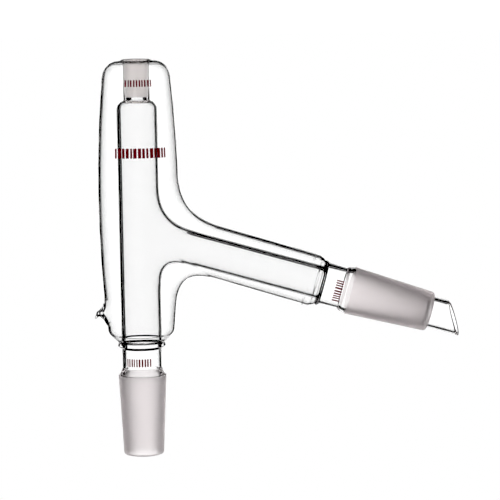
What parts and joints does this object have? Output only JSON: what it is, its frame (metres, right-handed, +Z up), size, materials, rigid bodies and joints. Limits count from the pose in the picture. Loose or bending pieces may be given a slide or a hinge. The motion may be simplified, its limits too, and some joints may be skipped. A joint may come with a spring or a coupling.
{
  "type": "vacuum-jacketed distillation head",
  "caption": "Clear glass distillation head with a vacuum jacket, a drooping side arm with a drip tip, ground joints and a thermometer socket.",
  "frame": {"origin": "middle of the bottom of the part's box; the column's axis is 69.66 mm from it towards -X", "axes": "+Z up the column, +X the way the side arm points, -Y the side that carries the marks"},
  "size_m": [0.1872, 0.041, 0.204],
  "materials": {
    "clear_glass": "clear",
    "ground_glass": "frosted",
    "red_enamel": "satin"
  },
  "bodies": {
    "root": {"pot_joint": "ground_glass", "bottom_ring_seal": "clear_glass", "column_tube": "clear_glass", "socket_seal": "clear_glass", "thermometer_socket": "ground_glass", "jacket_body": "clear_glass", "top_ring_seal": "clear_glass", "vacuum_tip_off": "clear_glass", "side_arm_tube": "clear_glass", "arm_ring_seal": "clear_glass", "arm_joint": "ground_glass", "drip_tip": "clear_glass", "jacket_arm": "clear_glass", "jacket_mark": "red_enamel", "socket_size_mark": "red_enamel", "pot_joint_mark": "red_enamel", "arm_joint_mark": "red_enamel"}
  },
  "joints": []
}
